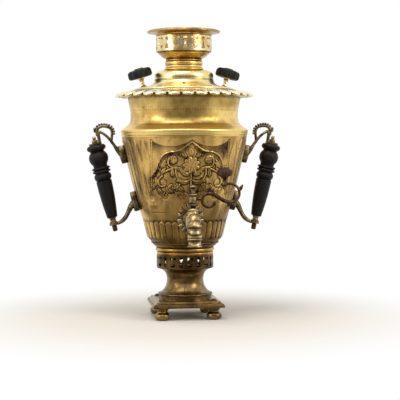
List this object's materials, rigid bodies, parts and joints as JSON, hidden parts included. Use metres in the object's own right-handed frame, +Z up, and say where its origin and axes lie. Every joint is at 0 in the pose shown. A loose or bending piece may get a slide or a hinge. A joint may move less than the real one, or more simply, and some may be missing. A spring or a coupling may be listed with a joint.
{
  "type": "samovar",
  "caption": "Vase-shaped brass charcoal samovar with a front tap and branch key, side handles, lift-off lid, scalloped rim, pierced galleries and a teapot stand on the flue.",
  "frame": {"origin": "middle of the whole footprint, on the surface that the feet stand on", "axes": "+Z up, the tap points along -Y, the handles lie on X; the body's axis stands at y = +10.9 mm"},
  "size_m": [0.2708, 0.2135, 0.3982],
  "materials": {
    "aged_brass": "aged, mottled, satin",
    "foot_brass": "aged, darker in the hollows",
    "tap_brass": "worn cast brass, paler",
    "dark_brass": "dark patina on cast brass",
    "tinned_tube": "sooty sheet",
    "iron": "dark iron",
    "black_wood": "black lacquered, worn",
    "brown_wood": "dark brown, worn lacquer",
    "packing": "waxed leather"
  },
  "bodies": {
    "samovar": {"foot_front_left": "foot_brass", "foot_front_right": "foot_brass", "foot_back_left": "foot_brass", "foot_back_right": "foot_brass", "foot_screws": "iron", "base_plate": "foot_brass", "pedestal": "foot_brass", "air_gallery": "foot_brass", "foot_ring": "foot_brass", "gadrooned_cup": "foot_brass", "body_shell": "aged_brass", "scalloped_rim": "aged_brass", "fire_tube": "tinned_tube", "body_floor": "tinned_tube", "grate": "iron", "flue_collar": "aged_brass", "upper_bracket_left": "dark_brass", "lower_bracket_left": "dark_brass", "grip_left": "black_wood", "tie_rod_left": "iron", "ferrule_left": "tap_brass", "dome_nut_left": "tap_brass", "bottom_nut_left": "dark_brass", "upper_bracket_right": "dark_brass", "lower_bracket_right": "dark_brass", "grip_right": "black_wood", "tie_rod_right": "iron", "ferrule_right": "tap_brass", "dome_nut_right": "tap_brass", "bottom_nut_right": "dark_brass", "tap_rosette": "tap_brass", "tap_body": "tap_brass", "tap_seal": "packing", "tap_nut": "tap_brass"},
    "key": {"key_plug": "tap_brass", "key_branch": "dark_brass", "key_knob": "brown_wood", "key_knob_screw": "tap_brass", "key_washer": "tap_brass", "key_screw": "tap_brass"},
    "lid": {"lid_shell": "aged_brass", "lid_skirt": "aged_brass", "lid_stem_left": "aged_brass", "lid_knob_left": "brown_wood", "lid_stem_right": "aged_brass", "lid_knob_right": "brown_wood"},
    "stand": {"stand_bowl": "aged_brass", "stand_gallery": "aged_brass", "stand_brim": "aged_brass"}
  },
  "joints": [
    {"name": "key_turn", "type": "hinge", "parent": "samovar", "child": "key", "pos_m": [0, -0.0811, 0.1417], "axis": [0, 0, -1], "range_deg": [0, 180]},
    {"name": "lid_lift", "type": "slide", "parent": "samovar", "child": "lid", "axis": [0, 0, 1], "range_m": [0, 0.06]},
    {"name": "stand_lift", "type": "slide", "parent": "lid", "child": "stand", "axis": [0, 0, 1], "range_m": [0, 0.03]}
  ]
}
